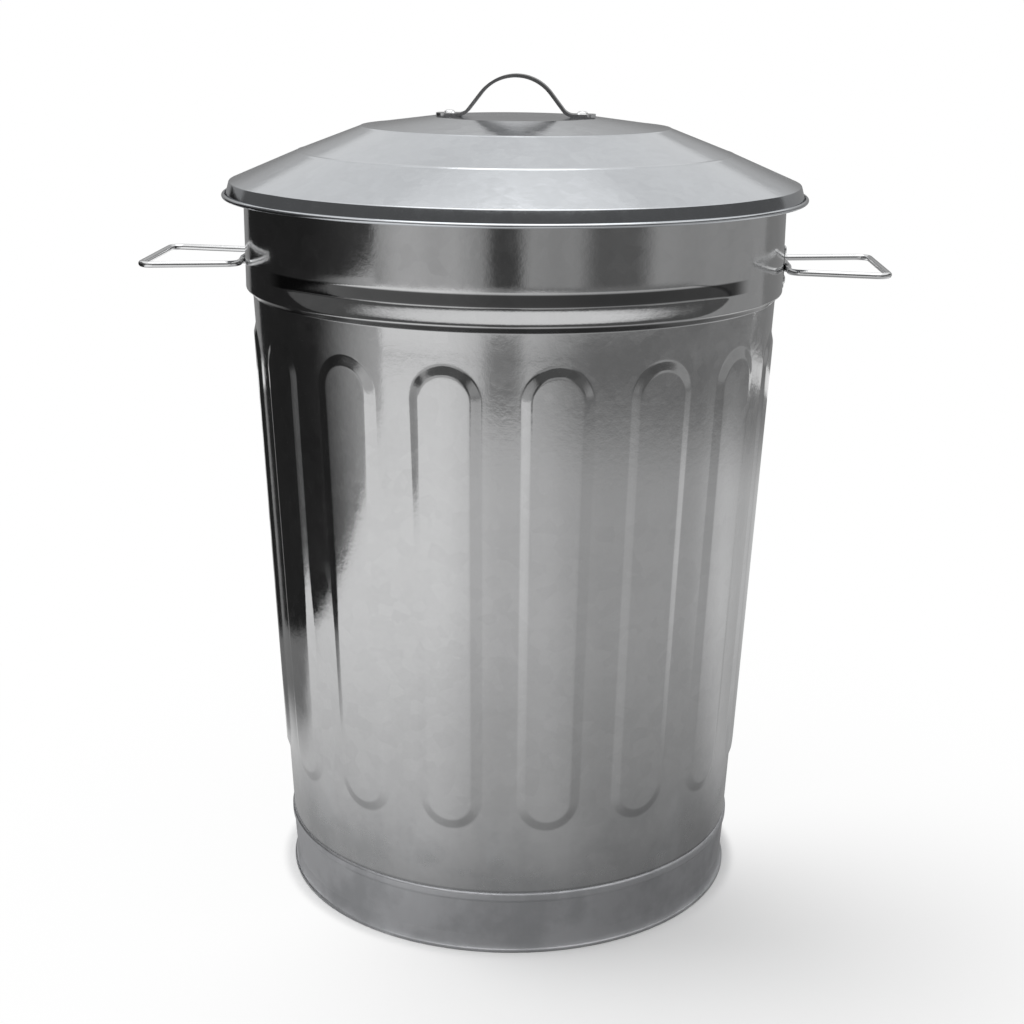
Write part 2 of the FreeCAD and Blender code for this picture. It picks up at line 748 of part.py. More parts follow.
def rivet(doc, dims, name, grip, place):
    """Domed rivet: the head's underside is at its placement, the tail is below what it grips."""
    shank, head = dims.rivet_shank / 2, dims.rivet_head / 2
    tail = dims.rivet_tail_radius
    body = revolved_body(doc, name, [
        (0, -grip - dims.rivet_tail),
        (tail, -grip - dims.rivet_tail),
        (tail, -grip),
        (shank, -grip),
        (shank, 0),
        (head, 0),
        (head * 0.8, dims.rivet_dome, dims.rivet_dome),
        (0, dims.rivet_dome),
    ])
    body.Placement = place
    return body


def ear(doc, dims, name, side):
    """Pressed ear: a plate curved to the band, with a half-round channel for the bail."""
    body = new_body(doc, name)
    inner = dims.band_radius + dims.seat
    outer = inner + dims.ear_sheet
    middle = dims.bail_height
    plate = draw_outline(new_sketch(body, f"{name}_plate", "XZ_Plane"), [
        (inner, middle - dims.ear_height / 2),
        (outer, middle - dims.ear_height / 2),
        (outer, middle + dims.ear_height / 2),
        (inner, middle + dims.ear_height / 2),
    ])
    revolve(body, plate, angle=math.degrees(dims.ear_width.value / dims.band_radius.value))
    radial = dims.ear_sheet.value
    round_corners(body, f"{name}_corners", dims.ear_corner,
                  lambda edge: abs(edge.Length - radial) < 0.01)
    hinge, channel = hinge_line(dims), dims.bail_wire / 2 + dims.bail_clearance
    knuckle = draw_circle(new_sketch(body, f"{name}_knuckle", "XZ_Plane"),
                          hinge, middle, channel + dims.ear_sheet)
    pad(body, knuckle, dims.ear_knuckle)
    doc.recompute()
    pocket(body, draw_circle(new_sketch(body, f"{name}_channel", "XZ_Plane"), hinge, middle, channel))
    mouth = draw_outline(new_sketch(body, f"{name}_mouth", "XZ_Plane"), [
        (inner - 2.0 * dims.bail_wire, middle - channel),
        (hinge, middle - channel),
        (hinge, middle + channel),
        (inner - 2.0 * dims.bail_wire, middle + channel),
    ])
    pocket(body, mouth)
    wall = draw_circle(new_sketch(body, f"{name}_wall", "XY_Plane",
                                  Placement(Vector(0, 0, middle.value), Rotation())), 0, 0, inner)
    pocket(body, wall)
    holes = new_sketch(body, f"{name}_holes", "YZ_Plane", Placement(Vector(0, 0, outer.value), Rotation()))
    for step in (-0.5, 0.5):
        draw_circle(holes, 0, middle + dims.ear_rivets * step, dims.rivet_shank / 2 + dims.rivet_fit)
    pocket(body, holes)
    body.Placement = Placement(Vector(), Rotation(Vector(0, 0, 1), 0 if side > 0 else 180))
    return body


def hinge_line(dims):
    """Distance of a bail's hinge line from the can's axis."""
    return dims.band_radius + dims.bail_wall_gap + dims.bail_wire / 2


def bail(doc, dims, name, side):
    """Closed wire bail, level as it stands out in use: half of it swept, the other half mirrored."""
    body = new_body(doc, name)
    hinge, far = hinge_line(dims), hinge_line(dims) + dims.bail_reach
    level = Placement(Vector(0, 0, dims.bail_height.value), Rotation())
    route = draw_route(new_sketch(body, f"{name}_route", "XY_Plane", level), [
        (hinge, 0),
        (hinge, dims.bail_hinge / 2, dims.bail_bend),
        (far, dims.bail_grip / 2, dims.bail_bend),
        (far, 0),
    ])
    section = draw_circle(new_sketch(body, f"{name}_section", "XZ_Plane"),
                          hinge, dims.bail_height, dims.bail_wire / 2)
    half = body.newObject("PartDesign::AdditivePipe", f"{name}_half")
    half.Profile = section
    half.Spine = (route, [])
    doc.recompute()
    other = body.newObject("PartDesign::Mirrored", f"{name}_other_half")
    other.Originals = [half]
    other.MirrorPlane = (origin_plane(body, "XZ_Plane"), [""])
    body.Tip = other
    body.Placement = Placement(Vector(), Rotation(Vector(0, 0, 1), 0 if side > 0 else 180))
    return body


def ear_rivets(doc, dims, side_name, side):
    """The two rivets of an ear, heads outward."""
    seat = dims.band_radius + dims.seat + dims.ear_sheet
    grip = dims.ear_sheet + dims.seat + dims.sheet
    made = []
    for level, step in (("upper", 0.5), ("lower", -0.5)):
        height = dims.bail_height + dims.ear_rivets * step
        place = Placement(Vector(side * seat.value, 0, height.value), Rotation(Vector(0, 1, 0), 90 * side))
        made.append(rivet(doc, dims, f"ear_{side_name}_rivet_{level}", grip, place))
    return made


def lid_rivets(doc, dims):
    height = (lid_top(dims) + dims.lid_handle_sheet).value
    grip = dims.lid_handle_sheet + dims.sheet
    return [rivet(doc, dims, f"lid_handle_rivet_{name}", grip,
                  Placement(Vector(side * dims.handle_rivets.value, 0, height), Rotation()))
            for name, side in (("left", -1), ("right", 1))]


# ---- build, check, write -----------------------------------------------------------------------

def check(doc, parts):
    doc.recompute()
    failed = [o.Name for o in doc.Objects if "Invalid" in o.State or "Error" in o.State]
    if failed:
        raise RuntimeError(f"objects failed: {failed}")
    for part in parts:
        if part.Shape.isNull() or not part.Shape.isValid() or len(part.Shape.Solids) != 1:
            raise RuntimeError(f"{part.Label} is not one valid solid")


def main():
    os.makedirs("parts", exist_ok=True)
    doc = FreeCAD.newDocument("trash_can")
    write_sheet(doc)
    dims = Dims(SIZES)
    parts = [base_ring(doc, dims), floor_pan(doc, dims), body_shell(doc, dims), rim_wire(doc, dims),
             lid_shell(doc, dims), lid_handle(doc, dims), *lid_rivets(doc, dims)]
    for name, side in (("left", -1), ("right", 1)):
        parts.append(bail(doc, dims, f"handle_{name}", side))
        parts.append(ear(doc, dims, f"ear_{name}", side))
        parts.extend(ear_rivets(doc, dims, name, side))
    check(doc, parts)
    for part in parts:
        part.Shape.exportStep(f"parts/{part.Label}.step")
        box = part.Shape.BoundBox
        print(f"{part.Label:24s} volume {part.Shape.Volume / 1000:9.2f} cm3"
              f"  x {box.XMin:8.2f} {box.XMax:8.2f}  z {box.ZMin:7.2f} {box.ZMax:7.2f}")


main()
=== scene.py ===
"""Galvanized trash can with a lift-off lid, dressed for a plain pale studio.

Every size is in metres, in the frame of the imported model: origin on the floor under the can's axis,
+Z up, side bails on +X and -X, front at -Y.
"""

import math

import bmesh
import bpy
import numpy as np
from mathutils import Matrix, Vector


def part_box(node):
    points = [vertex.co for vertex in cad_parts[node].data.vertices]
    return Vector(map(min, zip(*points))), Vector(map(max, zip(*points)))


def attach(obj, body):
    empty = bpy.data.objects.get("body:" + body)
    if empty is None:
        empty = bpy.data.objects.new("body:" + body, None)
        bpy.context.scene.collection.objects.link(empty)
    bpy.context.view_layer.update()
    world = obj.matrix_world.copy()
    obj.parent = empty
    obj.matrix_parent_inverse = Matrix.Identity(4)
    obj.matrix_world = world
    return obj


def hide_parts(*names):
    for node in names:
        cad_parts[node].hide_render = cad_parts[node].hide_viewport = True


bl_info = {
    "name": "Galvanized Trash Can",
    "version": (1, 0, 0),
    "blender": (4, 5, 0),
    "location": "3D View > Sidebar > Trash Can",
    "description": "Builds the visible sheet metal, finishes and studio of a galvanized trash can",
    "category": "Add Mesh",
}

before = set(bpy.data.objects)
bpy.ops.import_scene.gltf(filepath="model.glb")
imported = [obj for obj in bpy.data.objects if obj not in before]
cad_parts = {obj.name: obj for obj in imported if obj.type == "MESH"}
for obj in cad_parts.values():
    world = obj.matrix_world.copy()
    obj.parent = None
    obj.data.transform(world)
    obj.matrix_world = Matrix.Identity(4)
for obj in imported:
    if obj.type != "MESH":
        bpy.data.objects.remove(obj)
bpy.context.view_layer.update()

BODY = "can"
SLOT_SHEET = "zinc_sheet"
SHEET_NODES = ("body_shell", "base_ring", "floor_pan", "lid_shell")
ROUND_STEPS = 256                       # segments round a turned piece
ROLL_STEPS = 26                         # segments round the section of a rolled edge
CELL_MARGIN = 0.006                     # from a flute's ends to the edges of its share of the wall
SWAGE_BEND = 0.0012                     # rounding at the lips and the root of the V in the band
ALL_ROUND = -0.1                        # reach of a fold whose painted shade goes the whole way round
TINY = 1e-9


# ---- sizes and looks that a user would change --------------------------------------------------

def length(name, default, description):
    return bpy.props.FloatProperty(name=name, default=default, min=0.0, unit="LENGTH",
                                   precision=4, description=description)


def share(name, default, description):
    return bpy.props.FloatProperty(name=name, default=default, min=0.0, max=1.0, subtype="FACTOR",
                                   description=description)


def tone(name, default, description):
    return bpy.props.FloatVectorProperty(name=name, default=default, size=3, subtype="COLOR",
                                         min=0.0, max=1.0, description=description)


class CanWallSizes(bpy.types.PropertyGroup):
    """Sizes of the can's tapered, fluted wall and of the band above it."""
    gauge: length("Gauge", 0.0006, "Thickness of the sheet")
    radius_low: length("Low radius", 0.1898, "Outer radius of the wall at the base ring's top")
    radius_high: length("High radius", 0.2118, "Outer radius of the wall under the band")
    height_low: length("Low height", 0.053, "Height at which the low radius is measured")
    foot: length("Foot", 0.0022, "Height of the sheet's lower edge")
    height_high: length("Wall top", 0.502, "Height at which the wall steps out into the band")
    band_radius: length("Band radius", 0.2172, "Outer radius of the plain band")
    band_bottom: length("Band bottom", 0.507, "Height of the band's lower edge")
    roll_radius: length("Roll radius", 0.0021, "Inner radius of the rolled rim's section")
    roll_height: length("Roll height", 0.5902, "Height of the middle of the rolled rim's section")
    swage_depth: length("Swage depth", 0.0055, "Depth of the V pressed into the band")
    swage_low: length("Swage low", 0.5082, "Lower edge of the V")
    swage_mid: length("Swage middle", 0.5194, "Root of the V")
    swage_high: length("Swage high", 0.5306, "Upper edge of the V")
    swage_angle: bpy.props.FloatProperty(name="Swage angle", default=math.radians(50.0), subtype="ANGLE",
                                         description="Half of the angle that one swage spans")
    seam_width: length("Seam width", 0.014, "Width of the lap seam down the back")
    seam_low: length("Seam bottom", 0.0545, "Height of the seam's lower end")
    seam_high: length("Seam top", 0.585, "Height that the seam stays below")


class FluteSizes(bpy.types.PropertyGroup):
    """Sizes of the raised flutes pressed into the wall."""
    count: bpy.props.IntProperty(name="Flutes", default=16, min=3, description="Flutes round the can")
    span: bpy.props.FloatProperty(name="Span", default=math.radians(14.6), subtype="ANGLE",
                                  description="Angle that one flute spans")
    relief: length("Relief", 0.0020, "How far a flute stands out of the wall")
    bevel: length("Bevel", 0.0075, "Width of the sloping edge round a flute")
    bend: length("Bend", 0.0011, "Half width of the rounding where a bevel starts and ends")
    low: length("Low end", 0.1078, "Height of the flute's lower end")
    high: length("High end", 0.4775, "Height of the flute's upper end")


class RingSizes(bpy.types.PropertyGroup):
    """Sizes of the base ring, which follows the wall down to the floor."""
    seat: length("Seat", 0.00015, "Clearance between the ring and the wall")
    gauge: length("Gauge", 0.0007, "Thickness of the ring's sheet")
    hem: length("Hem", 0.0053, "How far the hem at the foot runs inwards")
    hem_height: length("Hem height", 0.002, "Height of the hem's upper face")
    foot_height: length("Foot height", 0.005, "Height at which the foot's radius is measured")
    swelling: length("Swelling", 0.0019, "How far the upper edge stands out of the wall")


class LidSizes(bpy.types.PropertyGroup):
    """Radii of the lid's creases, each with its drop below the flat top, and the bends between slopes."""
    top_radius: length("Top radius", 0.066, "Radius of the flat top")
    crease_radius: length("Crease radius", 0.124, "Radius of the first crease")
    crease_drop: length("Crease drop", 0.0076, "Drop of the first crease")
    break_radius: length("Break radius", 0.175, "Radius of the second crease")
    break_drop: length("Break drop", 0.027, "Drop of the second crease")
    shoulder_radius: length("Shoulder radius", 0.229, "Radius where the skirt starts")
    shoulder_drop: length("Shoulder drop", 0.0499, "Drop of the shoulder")
    edge_radius: length("Edge radius", 0.235, "Outside of the rolled edge")
    edge_roll: length("Edge roll", 0.0018, "Outer radius of the roll's section")
    edge_drop: length("Edge drop", 0.0624, "Drop of the roll's underside")
    ridge: length("Ridge", 0.00022, "How far a crease stands proud of the slopes beside it")
    bend: length("Bend", 0.0035, "Radius of the bend round the flat top")
    shoulder_bend: length("Shoulder bend", 0.0013, "Radius of the shoulder")


class ZincLook(bpy.types.PropertyGroup):
    """Colour and grain of the zinc."""
    body_tone: tone("Body", (0.545, 0.547, 0.55), "Colour of the can's sheet")
    lid_tone: tone("Lid", (0.60, 0.62, 0.645), "Colour of the lid's sheet")
    ring_tone: tone("Ring", (0.66, 0.665, 0.695), "Colour of the base ring")
    worn_tone: tone("Worn", (0.50, 0.505, 0.515), "Colour of the dulled foot")
    wire_tone: tone("Wire", (0.80, 0.805, 0.81), "Colour of the bails")
    strap_tone: tone("Strap", (0.70, 0.705, 0.715), "Colour of the lid's handle")
    stain_tone: tone("Stains", (0.24, 0.25, 0.26), "Colour of the dark stains on the foot")
    scuff_tone: tone("Scuffs", (0.70, 0.72, 0.74), "Colour of the pale scuffs on the foot")
    body_roughness: share("Body roughness", 0.11, "Roughness of the can's sheet")
    lid_roughness: share("Lid roughness", 0.12, "Roughness of the lid's sheet")
    ring_roughness: share("Ring roughness", 0.34, "Roughness of the base ring")
    wire_roughness: share("Wire roughness", 0.12, "Roughness of the bails")
    ear_roughness: share("Ear roughness", 0.14, "Roughness of the ears")
    rivet_roughness: share("Rivet roughness", 0.20, "Roughness of the rivets")
    strap_roughness: share("Strap roughness", 0.14, "Roughness of the lid's handle")
    pan_roughness: share("Pan roughness", 0.30, "Roughness of the floor pan")
    spangle_size: length("Spangle size", 0.011, "Size of the zinc's crystals")
    spangle: share("Spangle", 0.05, "How much the crystals differ in brightness")
    mottle: share("Mottle", 0.08, "How much the sheet is clouded")
    weathering: length("Weathering", 0.17, "Height up to which the foot of the can is dulled")


class StudioLook(bpy.types.PropertyGroup):
    """Camera, lights and surroundings."""
    distance: length("Distance", 1.406, "Level distance from the can's axis to the camera")
    height: length("Height", 0.714, "Height of the camera")
    azimuth: bpy.props.FloatProperty(name="Azimuth", default=math.radians(2.35), subtype="ANGLE",
                                     description="Turn of the camera round the can, towards +X")
    pitch: bpy.props.FloatProperty(name="Pitch", default=math.radians(16.01), subtype="ANGLE",
                                   description="How far the camera looks down")
    roll: bpy.props.FloatProperty(name="Roll", default=math.radians(0.57), subtype="ANGLE",
                                  description="Lean of the camera")
    lens: bpy.props.FloatProperty(name="Lens", default=60.27, unit="CAMERA",
                                  description="Focal length on a sensor 36 mm wide")
    sky: bpy.props.FloatProperty(name="Sky", default=0.86, min=0.0, description="Light from all round")
    key: bpy.props.FloatProperty(name="Key", default=36.0, min=0.0, unit="POWER",
                                 description="Soft lamp, high on the left")
    floor_tone: tone("Floor", (0.93, 0.93, 0.93), "Colour of the floor")


# ---- shader maths ------------------------------------------------------------------------------

class Wire:
    """A node's output. Arithmetic on it adds Math nodes, or Mix and Vector Math for colours and vectors."""

    def __init__(self, graph, socket):
        self.graph = graph
        self.socket = socket

    def math(self, operation, first, second):
        kinds = {w.socket.type for w in (first, second) if isinstance(w, Wire)}
        if kinds.isdisjoint(("RGBA", "VECTOR")):
            return self.graph.add("ShaderNodeMath", {"operation": operation}, {0: first, 1: second})
        first, second = (w if isinstance(w, (Wire, tuple)) else (w,) * 3 for w in (first, second))
        if "RGBA" in kinds:
            return self.graph.mix(operation, first, second)
        return self.graph.add("ShaderNodeVectorMath", {"operation": operation}, {0: first, 1: second})

    def __add__(self, other):
        return self.math("ADD", self, other)

    def __radd__(self, other):
        return self.math("ADD", other, self)

    def __sub__(self, other):
        return self.math("SUBTRACT", self, other)

    def __rsub__(self, other):
        return self.math("SUBTRACT", other, self)

    def __mul__(self, other):
        return self.math("MULTIPLY", self, other)

    def __rmul__(self, other):
        return self.math("MULTIPLY", other, self)


class Graph:
    """The node tree of a material or world."""

    def __init__(self, owner):
        owner.use_nodes = True
        self.tree = owner.node_tree
        self.tree.nodes.clear()

    def add(self, kind, settings=None, inputs=None, output=0):
        """Adds a node: its settings come first, then the values or links of its sockets."""
        node = self.tree.nodes.new(kind)
        for name, value in (settings or {}).items():
            setattr(node, name, value)
        for name, value in (inputs or {}).items():
            self.feed(node.inputs[name], value)
        return Wire(self, node.outputs[output]) if len(node.outputs) else node

    def feed(self, socket, value):
        if isinstance(value, Wire):
            self.tree.links.new(value.socket, socket)
        elif socket.type == "RGBA" and len(value) == 3:
            socket.default_value = (*value, 1.0)
        else:
            socket.default_value = value

    def mix(self, operation, first, second, factor=1.0):
        """Arithmetic on colours, laid over the first colour by a factor."""
        return self.add("ShaderNodeMix", {"data_type": "RGBA", "blend_type": operation},
                        {"Factor": factor, 6: first, 7: second}, output=2)

    def blend(self, factor, first, second):
        """From the first colour to the second, by a factor."""
        return self.mix("MIX", first, second, factor)

    def between(self, value, low, high):
        """0 below low, 1 above high, eased between."""
        return self.add("ShaderNodeMapRange", {"interpolation_type": "SMOOTHSTEP"},
                        {"Value": value, "From Min": low, "From Max": high})

    def noise(self, place, size, detail=3.0, roughness=0.55, stretch=(1.0, 1.0, 1.0)):
        """Cloudy noise about 0.5 whose patches are about this size in metres."""
        scale = tuple(s / size for s in stretch)
        return self.add("ShaderNodeTexNoise", {"noise_dimensions": "3D"},
                        {"Vector": place * scale, "Scale": 1.0, "Detail": detail, "Roughness": roughness})

    def cells(self, place, size):
        """A random level from 0 to 1 for each crystal of about this size."""
        shade = self.add("ShaderNodeTexVoronoi", {"feature": "F1"},
                         {"Vector": place * (1.0 / size), "Scale": 1.0}, output="Color")
        return self.add("ShaderNodeSeparateColor", {}, {0: shade})

    def absolute(self, value):
        return self.add("ShaderNodeMath", {"operation": "ABSOLUTE"}, {0: value})

    def place(self):
        return self.add("ShaderNodeTexCoord", output="Object")

    def height(self, place):
        return self.part(self.split(place), "Z")

    def away(self, place):
        """Distance from the middle of the can's foot."""
        return self.add("ShaderNodeVectorMath", {"operation": "LENGTH"}, {0: place}, output="Value")

    def bump(self, height, distance):
        return self.add("ShaderNodeBump", {}, {"Height": height, "Distance": distance, "Strength": 1.0})

    def split(self, place):
        return self.add("ShaderNodeSeparateXYZ", {}, {0: place})

    def part(self, node, name):
        """Another output of a node that is already there."""
        return Wire(self, node.socket.node.outputs[name])

    def grey(self, level):
        return self.add("ShaderNodeCombineColor", {}, {0: level, 1: level, 2: level})

    def surface(self, **inputs):
        names = {name.replace("_", " "): value for name, value in inputs.items()}
        self.finish(self.add("ShaderNodeBsdfPrincipled", {}, names))

    def finish(self, shader):
        self.add("ShaderNodeOutputMaterial", {}, {"Surface": shader})


# ---- zinc finishes -----------------------------------------------------------------------------

def zinc(name, base, roughness, ripple=0.0, spangle=1.0, streaks=0.5, foot=0.0, fold_shade=()):
    """Hot-dipped zinc: crystals, clouding, fine drawing lines and shallow ripples of the sheet.

    The sheet is dull and stained up to the height foot. Each (low, high, reach, deep) in the last argument
    darkens a fold between two heights by the share deep, as painted shade, where it lies farther than reach
    from the plane of the side bails.
    """
    look = bpy.context.scene.zinc_look
    material = bpy.data.materials.new(name)
    g = Graph(material)
    place = g.place()
    warp = g.noise(place, size=0.02, detail=2.0) - 0.5
    crystals = g.cells(place + warp * 0.006, look.spangle_size) - 0.5
    clouds = g.noise(place, size=0.09, detail=4.0) - 0.5
    specks = g.noise(place, size=0.006, detail=4.0, roughness=0.7) - 0.5
    lines = g.noise(place, size=0.0022, detail=2.0, stretch=(1.0, 1.0, 0.03)) - 0.5
    light = crystals * (look.spangle * spangle) + clouds * (look.mottle * 2.0) + specks * look.mottle + 1.0
    rough = clouds * 0.14 + specks * 0.08 + lines * (0.10 * streaks) + crystals * (0.05 * spangle) + roughness
    rise, fall, thin_out = 0.0012, 0.0015, 0.02         # how softly the painted shade of a fold starts and ends
    # Painted shade: the colour is darkened in each fold
    for low, high, reach, deep in fold_shade:
        depth = g.absolute(g.part(g.split(place), "Y"))
        fold = g.between(g.height(place), low, low + rise) * g.between(depth, reach, reach + thin_out)
        fold = fold * (1.0 - g.between(g.height(place), high - fall, high))
        light = light * (1.0 - fold * deep)
    colour = g.grey(light) * tuple(base)
    if foot:
        worn = 1.0 - g.between(g.height(place) + clouds * 0.05, foot * 0.3, foot)
        stains = g.between(g.noise(place, size=0.05, detail=5.0, roughness=0.6), 0.40, 0.66)
        scuffs = g.between(g.noise(place, size=0.03, detail=3.0, stretch=(1.0, 1.0, 0.5)), 0.50, 0.72)
        rough = rough + worn * 0.12 + worn * stains * 0.08
        colour = g.blend(worn * 0.55, colour, tuple(look.worn_tone))
        colour = g.blend(worn * stains * 0.30, colour, tuple(look.stain_tone))
        colour = g.blend(worn * scuffs * 0.22, colour, tuple(look.scuff_tone))
    waves = g.noise(place, size=0.06, detail=1.5, stretch=(1.0, 1.0, 0.18))
    g.surface(Base_Color=colour, Metallic=1.0,
              Roughness=g.add("ShaderNodeClamp", {}, {"Value": rough, "Min": 0.05, "Max": 0.85}),
              Normal=g.bump(specks * 0.12 + waves * ripple, distance=0.0005))
    return material


# ---- mesh tools --------------------------------------------------------------------------------

def mesh_piece(name, points, faces, material, slot, body=BODY):
    """A smooth-shaded piece that rides on a body."""
    mesh = bpy.data.meshes.new(name)
    mesh.from_pydata([tuple(p) for p in points], [], [tuple(int(i) for i in f) for f in faces])
    work = bmesh.new()
    work.from_mesh(mesh)
    bmesh.ops.remove_doubles(work, verts=work.verts, dist=1e-6)
    bmesh.ops.recalc_face_normals(work, faces=work.faces)
    work.to_mesh(mesh)
    work.free()
    mesh.shade_smooth()
    mesh.materials.append(material)
    piece = bpy.data.objects.new(name, mesh)
    bpy.context.scene.collection.objects.link(piece)
    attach(piece, body)
    return piece


def rounded(corners, steps=6):
    """Profile of (radius, height) points whose corners (r, z, bend) are rounded by arcs."""
    out = []
    for i, corner in enumerate(corners):
        here = np.array(corner[:2])
        if len(corner) < 3:
            out.append(here)
            continue
        back = np.array(corners[i - 1][:2]) - here
        on = np.array(corners[(i + 1) % len(corners)][:2]) - here
        back, on = back / np.linalg.norm(back), on / np.linalg.norm(on)
        half = math.acos(np.clip(back @ on, -1, 1)) / 2
        run = corner[2] / math.tan(half)
        middle = (back + on) / np.linalg.norm(back + on)
        centre = here + middle * (corner[2] / math.sin(half))
        first, last = here + back * run - centre, here + on * run - centre
        turn = math.acos(np.clip(first @ last / corner[2] ** 2, -1, 1))
        for k in range(steps + 1):
            t = k / steps
            out.append(centre + (math.sin((1 - t) * turn) * first + math.sin(t * turn) * last)
                       / math.sin(turn))
    return out


def circle_arc(centre, radius, start, end, steps):
    """Points of an arc in the profile plane, from one angle to another in degrees."""
    angles = np.radians(np.linspace(start, end, steps + 1))
    return [np.array(centre) + radius * np.array([math.cos(a), math.sin(a)]) for a in angles]


def turned(profile, closed, steps=ROUND_STEPS):
    """Points and faces of a profile turned round the can's axis."""
    count = len(profile)
    angles = np.arange(steps) * math.tau / steps
    points = [(r * math.cos(a), r * math.sin(a), z) for a in angles for r, z in profile]
    faces = []
    for i in range(steps):
        here, there = i * count, (i + 1) % steps * count
        for k in range(count if closed else count - 1):
            n = (k + 1) % count
            faces.append((here + k, there + k, there + n, here + n))
    return points, faces


# ---- the can's wall ----------------------------------------------------------------------------

def wall_radius(sizes, height):
    share_up = (height - sizes.height_low) / (sizes.height_high - sizes.height_low)
    return sizes.radius_low + (sizes.radius_high - sizes.radius_low) * share_up


def flute_lift(flutes, inset):
    """Height of the flute's face at a distance inside its outline: a bevel with rounded bends."""
    slope = flutes.relief / flutes.bevel
    bend = flutes.bend

    def corner(x):
        """Integral of a step that is eased over twice the bend."""
        x = np.clip(x, -bend, None)
        return np.where(x < bend, (x + bend) ** 2 / (4 * bend), x)

    return slope * (corner(inset) - corner(inset - flutes.bevel))


def flute_insets(flutes):
    """How far the rings of faces that follow a flute's outline lie inside it, from outside to inside."""
    bend, bevel = flutes.bend, flutes.bevel
    outer_bend = [bend * k for k in (-2.2, -1.0, -0.5, 0.0, 0.5, 1.0)]
    inner_bend = [bevel + bend * k for k in (-1.0, -0.5, 0.0, 0.5, 1.0, 2.4)]
    return outer_bend + [bevel / 2] + inner_bend


def flute_cell(sizes, flutes):
    """One flute and its share of the wall, as closed rings of (turn, height, lift) points.

    The rings follow the flute's rounded outline. Outside they run out to the cell's rectangle, and
    inside they close on the flute's middle line. The turns along the rectangle's two ends and their
    heights come with them.
    """
    half_cell = math.pi / flutes.count
    half = flutes.span / 2
    top, bottom = flutes.high + CELL_MARGIN, flutes.low - CELL_MARGIN
    side_steps, corner_steps, end_steps = 14, 6, 9

    def end_rays(edge, tip, way):
        """Rays over a rounded end: middle, turn, reach to the outline, and place on the rectangle."""
        radius = wall_radius(sizes, tip)
        reach = half * radius
        middle = tip - way * reach
        corner = math.atan2(abs(edge - middle), half_cell * radius)
        quarter = [corner * k / corner_steps for k in range(corner_steps)]
        quarter += [corner + (math.pi / 2 - corner) * k / end_steps for k in range(end_steps + 1)]
        turns = quarter + [math.pi - turn for turn in reversed(quarter[:-1])]
        return [(middle, way * turn, reach, cell_edge(half_cell, edge, middle, radius, way * turn))
                for turn in turns]

    def side_rays(turn, heights):
        across = math.copysign(half_cell, math.cos(turn))
        return [(z, turn, half * wall_radius(sizes, z), (across, z)) for z in heights]

    upper, lower = end_rays(top, flutes.high, 1.0), end_rays(bottom, flutes.low, -1.0)
    side = np.linspace(lower[0][0], upper[0][0], side_steps + 1)[1:-1]
    path = upper + side_rays(math.pi, side[::-1]) + lower[::-1] + side_rays(0.0, side)
    insets = flute_insets(flutes)
    levels = [(out, insets[0], 0.0) for out in (1.0, 0.62, 0.28)]
    levels += [(0.0, inset, 0.0) for inset in insets]
    levels += [(0.0, insets[-1], inwards) for inwards in (0.5, 1.0)]
    rings = []
    for out, inset, inwards in levels:
        ring = []
        for middle, turn, reach, (edge_turn, edge_z) in path:
            depth = inset + (reach - inset) * inwards
            z = middle + (reach - depth) * math.sin(turn)
            a = (reach - depth) * math.cos(turn) / wall_radius(sizes, z)
            a, z = a + (edge_turn - a) * out, z + (edge_z - z) * out
            ring.append((a, z, float(flute_lift(flutes, depth))))
        rings.append(ring)
    ends = [sorted({round(a, 9) for a, z, _ in rings[0] if abs(z - end) < TINY}) for end in (top, bottom)]
    return rings, *ends, top, bottom


def cell_edge(half_cell, edge, middle, radius, turn):
    """Where a ray from the flute's middle line meets the cell's rectangle, as (turn, height)."""
    across, up = math.cos(turn), math.sin(turn)
    side = math.copysign(half_cell, across)
    if abs(up) < TINY:
        return side, middle
    run_up = (edge - middle) / up
    run_across = half_cell * radius / max(abs(across), TINY)
    if run_up <= run_across * (1 + TINY):
        return max(-half_cell, min(half_cell, run_up * across / radius)), edge
    return side, middle + run_across * up


def band_profile(sizes, start):
    """Rows from a start above the flutes up to the rim, as (radius, height) without the V, and the roll."""
    step_bend, lip_bend = 0.0015, 0.0012
    step = rounded([(wall_radius(sizes, start), start), (sizes.radius_high, sizes.height_high, step_bend),
                    (sizes.band_radius, sizes.band_bottom, lip_bend), (sizes.band_radius, sizes.swage_low)],
                   steps=4)[1:-1]
    heights = [z + SWAGE_BEND * k / 2 for z in (sizes.swage_low, sizes.swage_mid, sizes.swage_high)
               for k in range(-2, 3)]
    heights += [low + (high - low) * k / 4 for low, high in (
        (sizes.swage_low, sizes.swage_mid), (sizes.swage_mid, sizes.swage_high)) for k in (1, 2, 3)]
    plain_low, plain_high = 0.538, 0.586            # the rows of the plain band above the V
    heights += list(np.linspace(plain_low, plain_high, 6))
    rows = step + [(sizes.band_radius, z) for z in sorted(heights) if z > step[-1][1] + 0.0001]
    centre = (sizes.band_radius + sizes.roll_radius, sizes.roll_height)
    return rows, circle_arc(centre, sizes.roll_radius, 180.0, -140.0, ROLL_STEPS)


